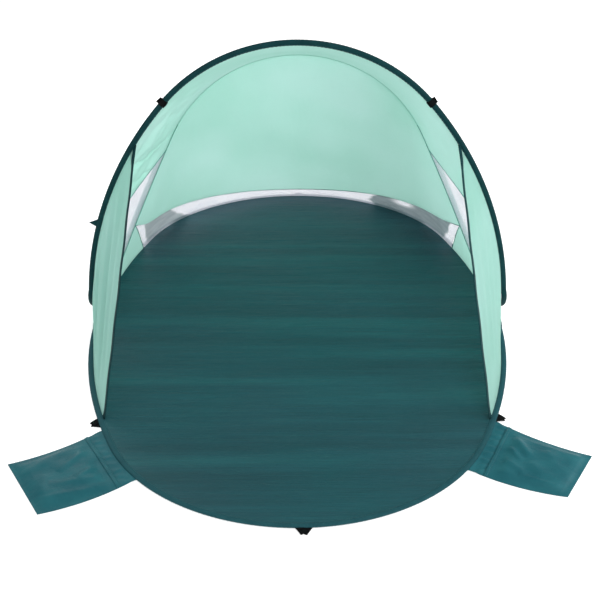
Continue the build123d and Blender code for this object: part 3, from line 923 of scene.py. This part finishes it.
def make_bend(name, side, stations, material, first_pair, last_pair, seed):
    """Sleeve and wire of a bend, both split where the bend passes the angle of the first pair's first body.
    """
    angles = [math.degrees(math.atan2(spot.z - AXIS_HEIGHT, spot.y)) % 360 for spot, _, _ in stations]
    split = min(range(len(stations)), key=lambda i: abs(angles[i] - ANGLE_OF[first_pair[0]]))
    spans = ((stations[:split + 1], first_pair), (stations[split:], last_pair))
    for part, (span, pair) in zip(("sleeve", "tail"), spans):
        piece = sleeve_mesh(f"{name}_fabric_{part}_{side}", span, material, seed)
        finish_piece(piece, pair, "dark_binding", f"{name}_sleeve_{side}")
    for part, (span, pair) in zip(("wire", "wire_tail"), spans):
        piece = wire_mesh(f"{name}_spring_{part}_{side}", span)
        finish_piece(piece, pair, "spring_wire", f"{name}_wire_{side}")


# --- floor


def floor_height(x, y, edge):
    """Height of the floor cloth: lying on the ground, rising to its seam in the rim, lightly creased."""
    crease = 0.0007 * rough(x * 0.16, y, 41, 0.011) + 0.0009 * rough(x * 0.3, y, 42, 0.035)
    wave = 0.0010 * rough(x, y, 43, 0.16)
    flat = FLOOR_REST + (crease + wave) * smooth(edge / 0.05)
    return between(AXIS_HEIGHT, flat, smooth(edge / FLOOR_SEAM))


def make_floor_half(name, half, body, node):
    """Half of the floor, in rings that shrink from the rim towards the middle of the fold line."""
    rings, around = 150, 260
    sewn = half.edge(SEW_INSET)

    def at(i, j):
        run = between(-1.0, 1.0, j / around)
        rim, share = sewn(run), 1 - i / rings
        x = rim.x * share
        y = 0.0 if abs(run) == 1.0 else rim.y * share
        return (x, y, floor_height(x, y, (1 - share) * math.hypot(rim.x, rim.y))), (x, y)

    points, uvs, faces = grid(rings, around, at)
    if half is rear_rim:
        faces = [tuple(reversed(face)) for face in faces]
    piece = add_mesh(name, points, uvs, faces, FLOOR)
    thicken(piece, thickness=0.0004).modifiers[0].use_rim = False
    finish_piece(piece, body, "floor_sheet", node)


# --- webbing


def ground_axes(half, share, side, gap):
    """Place on the ground beside a rim, and the directions along the rim and away from it."""
    spot, outward, _ = half.station(side * (1 - share))
    outward = Vector((outward.x, outward.y, 0)).normalized()
    along = outward.cross(Vector((0, 0, 1)))
    spot = spot + outward * (SLEEVE_HALF + gap)
    return Vector((spot.x, spot.y, 0)), along, outward


def make_stake_loop(name, half, share, side, body):
    """Webbing folded into a triangle: two ribbed arms that lie over each other at the tip."""
    origin, along, outward = ground_axes(half, share, side, gap=0.0008)
    width, length, stations, columns = 0.0190, 0.034, 24, 7
    mesh = ((), (), ())
    for arm, rest in ((-1, 0.0008), (1, 0.0018)):
        start, tip = Vector((arm * 0.0145, -0.010)), Vector((arm * -0.0010, 0.0175))
        lead = (tip - start).normalized()

        def at(i, j):
            t, u = i / stations, j / columns - 0.5
            flat = start.lerp(tip, t) + Vector((lead.y, -lead.x)) * (u * width)
            point = origin + along * flat.x + outward * flat.y
            bow = 0.0016 * math.sin(math.pi * t) * (0.6 + 0.3 * arm)
            point.z = rest + bow + 0.0004 * rough(t, arm, 51, 0.2) + 0.00018 * (j % 2)
            return point, (t * length, u * width)

        mesh = grid(stations, columns, at, mesh)
    piece = add_mesh(f"{name}_webbing", *mesh, WEBBING)
    thicken(piece, thickness=0.0011)
    finish_piece(piece, body, "black_webbing", name)


def make_arch_band(name, side):
    """Webbing wrapped round the arch sleeve, with the stitched tail that stands out at its outer edge."""
    spot, outward, square = front_arch.station(side * (1 - BAND_AT))
    ahead = outward.cross(square)
    half_u, half_v = SLEEVE_HALF + WEBBING_GAP, SLEEVE_THICKNESS / 2 + WEBBING_GAP
    loop = squarish(40, 0.45, 0.6)
    width, columns, tail_rows = 0.020, 12, 10

    def wrap(k, j):
        u, v, w = half_u * loop[k][0], half_v * loop[k][1], j / columns - 0.5
        crumple = 0.0009 * rough(u + w * 0.4, v, 61 + side, 0.006)
        bulge = 1 + 0.05 * math.cos(w * math.pi) + crumple / half_v
        point = spot + outward * (u * bulge) + square * (v * bulge) + ahead * (w * width + crumple)
        return point, (k * 0.0015, w * width)

    def tail(i, j):
        t, w = i / tail_rows, j / columns - 0.5
        u = half_u - 0.001 + 0.0085 * t * (1 - 0.35 * (w + 0.5))
        v = 0.0016 * math.sin(t * 2.4) - 0.0012 + 0.0006 * rough(t, w, 63, 0.3)
        return spot + outward * u + square * v + ahead * (w * width * 0.96), (t * 0.009, w * width)

    points, uvs, faces = grid(len(loop) - 1, columns, wrap)
    last = len(points) - columns - 1
    faces += [(last + j, last + j + 1, j + 1, j) for j in range(columns)]
    mesh = grid(tail_rows, columns, tail, (points, uvs, faces))
    piece = add_mesh(f"arch_band_webbing_{name}", *mesh, WEBBING)
    thicken(piece, thickness=0.0013)
    finish_piece(piece, "front_arch", "black_webbing", f"arch_band_{name}")


def make_side_tab():
    """Small tape folded to a point and sewn to the left leg of the front arch."""
    spot, outward, square = front_arch.station(-(1 - TAB_AT))
    ahead = outward.cross(square)
    down = ahead if ahead.z < 0 else -ahead
    rows, columns = 16, 12
    half, length = 0.013, 0.024

    def at(i, j):
        t, w = i / rows, j / columns
        along = between(-half, half, w) * (1 - t) + 0.006 * t
        lift = 0.0016 * math.sin(math.pi * t) + 0.0006 * rough(t, w, 71, 0.3)
        point = spot + outward * (SLEEVE_HALF - 0.002 + length * t) + down * along + square * lift
        return point, (t * length, w * 2 * half)

    piece = add_mesh("side_tab_tape", *grid(rows, columns, at), BINDING)
    thicken(piece, thickness=0.0016)
    finish_piece(piece, "front_arch", "dark_binding", "side_tab_left")


# --- sand pockets

# Pockets lie a little askew: their ends lean forward along the rim, and slant
POCKETS = {
    "left": dict(at=0.5685, half=0.120, end_half=0.113, length=0.245, lean=0.009, slant=0.004),
    "right": dict(at=0.5322, half=0.118, end_half=0.095, length=0.251, lean=0.019, slant=0.011),
}
POCKET_MOUTH = 0.030            # from the rim to the top cloth's open edge
POCKET_HEM = 0.010
POCKET_BOW = 0.013              # forward, halfway along its sides
POCKET_CROWN = 0.0075
POCKET_PUFF = 0.0030
POCKET_PLEATS = {"left": 0.0008, "right": 0.0022}

# Soft creases of a pocket's cloth: both ends (share along the rim, metres out), width and height
POCKET_CREASES = {
    "left": [
        ((-0.55, 0.060), (-0.15, 0.150), 0.012, 0.0045), ((0.10, 0.058), (0.30, 0.120), 0.010, 0.0040),
        ((0.50, 0.060), (0.20, 0.190), 0.014, 0.0040), ((-0.90, 0.085), (-0.40, 0.230), 0.016, 0.0035),
        ((0.75, 0.090), (0.60, 0.225), 0.012, 0.0035), ((-0.20, 0.180), (0.45, 0.215), 0.014, 0.0030),
    ],
    "right": [
        ((-0.70, 0.058), (-0.10, 0.120), 0.012, 0.0055), ((-0.25, 0.056), (0.15, 0.105), 0.009, 0.0045),
        ((0.30, 0.060), (0.55, 0.130), 0.011, 0.0040), ((0.62, 0.110), (0.80, 0.235), 0.012, 0.0050),
        ((-0.60, 0.150), (0.20, 0.205), 0.020, 0.0040), ((0.05, 0.120), (0.50, 0.180), 0.018, 0.0040),
    ],
}


def crease(a, d, ends, width, height):
    """Height at (a, d) of one soft ridge between two points."""
    (a0, d0), (a1, d1) = ends
    da, dd = a1 - a0, d1 - d0
    t = clamp(((a - a0) * da + (d - d0) * dd) / (da * da + dd * dd))
    gap = math.hypot(a - a0 - da * t, d - d0 - dd * t)
    return height * math.exp(-((gap / width) ** 2)) * (1 - abs(2 * t - 1) ** 3)


class Pocket:
    """One sand pocket: across runs from -1, its rear edge, to 1, its front edge, and d away from the rim."""

    def __init__(self, name, side):
        self.side = side
        self.size = POCKETS[name]
        self.half, self.length = self.size["half"], self.size["length"]
        self.origin, self.along, self.outward = ground_axes(front_rim, self.size["at"], side, gap=0.0015)
        self.creases = POCKET_CREASES[name]

    def place(self, across, d, z):
        share = max(0.0, d / self.length)
        half = between(self.half, self.size["end_half"], share)
        bow = POCKET_BOW * 4 * share * (1 - min(share, 1.0))
        a = self.side * (self.size["lean"] * share + across * half + bow)
        point = self.origin + self.along * a + self.outward * (d - across * self.size["slant"] * share)
        point.z = z
        return point

    def sag(self, across):
        """How far the round rim lies back from its tangent."""
        return RIM_END_RADIUS - math.sqrt(RIM_END_RADIUS**2 - (across * self.half) ** 2)

    def slack(self, across, d):
        """Height of the loose cloth over the pocket, zero round its sewn edges."""
        inside = (1 - abs(across) ** 5) * smooth((self.length - d) / 0.022)
        a = across * self.half
        puff = POCKET_PUFF + 0.0028 * rough(a, d, 80 + self.side, 0.055)
        crown = smooth((1 - abs(across)) * self.half / 0.034) * smooth((self.length - d) / 0.040)
        puff += POCKET_CROWN * crown * smooth((d - POCKET_MOUTH - POCKET_HEM) / 0.045)
        ridges = sum(crease(a, d, ((p[0] * self.half, p[1]), (q[0] * self.half, q[1])), w, h)
                     for p, q, w, h in self.creases)
        return inside * (puff + ridges)


def pocket_sheet(pocket, name, start, stop, height, columns, rows, follow_rim=False):
    """One cloth of a pocket as a grid; height gives its z at a place across and a distance out."""

    def at(i, j):
        across = between(-1.0, 1.0, j / columns)
        first = start - pocket.sag(across) if follow_rim else start
        d = between(first, stop, i / rows)
        return pocket.place(across, d, height(across, d)), (across * pocket.half, d)

    return thicken(add_mesh(name, *grid(rows, columns, at), POCKET), thickness=0.0005)


def make_pocket(name, side):
    pocket = Pocket(name, side)
    body = f"sand_pocket_{name}"
    length = pocket.length

    def base_height(across, d):
        a = across * pocket.half
        lift = 0.0009 + 0.0012 * rough(a, d, 84, 0.05) ** 2 * smooth(d / 0.02)
        pleat = math.sin(2 * math.pi * (a + 0.35 * d) / 0.027 + 2.5 * rough(a, d, 86, 0.05))
        pleat = POCKET_PLEATS[name] * (1 + pleat) * math.sin(math.pi * clamp(d / POCKET_MOUTH))
        return lift + pleat + 0.0018 * smooth((0.010 - d) / 0.02)

    def top_height(across, d):
        return 0.0018 + pocket.slack(across, d)

    base = pocket_sheet(pocket, f"pocket_base_cloth_{name}", -0.004, length, base_height, 60, 90,
                        follow_rim=True)
    start, end = pocket.place(0, 0.002, 0), pocket.place(0, POCKET_MOUTH, 0)
    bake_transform(base)
    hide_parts(f"sand_pocket_base_{name}")
    top = pocket_sheet(pocket, f"pocket_top_cloth_{name}", POCKET_MOUTH, length, top_height, 110, 110)
    finish_piece(top, body, "pocket_cloth", f"sand_pocket_top_{name}")

    def hem_height(across, d):
        t = (d - POCKET_MOUTH) / POCKET_HEM
        return 0.0027 + pocket.slack(across, d) + 0.0008 * math.sin(math.pi * t)

    hem = pocket_sheet(pocket, f"pocket_hem_{name}", POCKET_MOUTH - 0.001, POCKET_MOUTH + POCKET_HEM,
                       hem_height, 110, 8)
    finish_piece(hem, body, "pocket_cloth", f"sand_pocket_hem_{name}")
    rows = {"mouth": POCKET_MOUTH + 0.0025, "hem": POCKET_MOUTH + POCKET_HEM - 0.002}
    for label, d in rows.items():
        path = []
        for across in steps(-0.97, 0.97, 60):
            spot = pocket.place(across, d, hem_height(across, d) + 0.0004)
            path.append((spot, pocket.outward, Vector((0, 0, 1))))
        stitches(f"pocket_{label}_stitching_{name}", path, body, offset=0.0, lift=0.0002,
                              pitch=0.0040)


# --- metal, camera, light


STUDIO_HALF = 120.0
CAMERA_TILT = 29.07             # degrees below the horizon


def paint_metal():
    """The half hoops' wires and the ferrules keep their CAD shapes, inside the sleeves."""
    for name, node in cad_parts.items():
        metal = WIRE if "_wire" in name else FERRULE if "_ferrule" in name else None
        if metal:
            node.data.materials.clear()
            node.data.materials.append(metal)


def add_light(name, place, aim, size, power):
    lamp = bpy.data.lights.new(name, "AREA")
    lamp.shape = "DISK"
    lamp.size = size
    lamp.energy = power
    piece = bpy.data.objects.new(name, lamp)
    piece.location = place
    piece.rotation_euler = (Vector(aim) - Vector(place)).to_track_quat("-Z", "Y").to_euler()
    bpy.context.collection.objects.link(piece)


def make_studio():
    """White studio: an even surround, a broad light over the front, one behind, a low one on the right."""
    scene = bpy.context.scene
    scene.world = bpy.data.worlds.new("white_surround")
    scene.world.use_nodes = True
    surround = scene.world.node_tree.nodes["Background"]
    surround.inputs["Color"].default_value = (1.0, 1.0, 1.0, 1.0)
    surround.inputs["Strength"].default_value = 0.64
    scene.view_settings.view_transform = "Standard"
    corners = [(x * STUDIO_HALF, y * STUDIO_HALF, 0) for x, y in ((-1, -1), (1, -1), (1, 1), (-1, 1))]
    floor = add_mesh("studio_floor", corners, [c[:2] for c in corners], [(0, 1, 2, 3)],
                     studio_floor_material())
    floor.location.z = -0.0005
    add_light("front_softbox", (1.1, -2.5, 3.1), (0, -0.3, 0), size=2.6, power=46)
    add_light("right_softbox", (1.7, -0.5, 0.7), (0.58, -0.3, 0.50), size=0.7, power=9)
    add_light("rear_softbox", (-0.9, 2.6, 1.8), (-0.1, 0.6, 0.4), size=2.0, power=34)
    camera = bpy.data.cameras.new("camera")
    camera.lens = 60.9
    camera.sensor_width = 36.0
    viewer = bpy.data.objects.new("camera", camera)
    viewer.location = (0.008, -2.839, 1.643)
    viewer.rotation_euler = (math.radians(90 - CAMERA_TILT), 0.0, 0.0)
    scene.collection.objects.link(viewer)
    scene.camera = viewer


def studio_floor_material():
    """Plain white floor that glows a little, so that the tent's shadows on it stay faint."""
    paint = Paint("studio_white", roughness=0.9)
    paint.shader.inputs["Base Color"].default_value = (0.9, 0.9, 0.9, 1.0)
    paint.shader.inputs["Emission Color"].default_value = (1.0, 1.0, 1.0, 1.0)
    paint.shader.inputs["Emission Strength"].default_value = 0.5
    return paint.material


paint_metal()
make_sleeves()
make_canopy()
make_seams()
make_floor_half("front_floor_cloth", front_rim, "front_floor", "front_floor_sheet")
make_floor_half("rear_floor_cloth", rear_rim, "base", "rear_floor_sheet")
for side_name, side_sign in SIDES.items():
    make_arch_band(side_name, side_sign)
    loop_at = LEFT_LOOP_AT if side_sign < 0 else RIGHT_LOOP_AT
    make_stake_loop(f"front_stake_loop_{side_name}", front_rim, loop_at, side_sign, "front_floor")
    make_stake_loop(f"rear_stake_loop_{side_name}", rear_rim, REAR_LOOP_AT, side_sign, "base")
    make_pocket(side_name, side_sign)
make_stake_loop("front_stake_loop_centre", front_rim, FRONT_LOOP_AT, 1, "front_floor")
make_stake_loop("rear_stake_loop_centre", rear_rim, 1.0, 1, "base")
make_side_tab()
make_studio()
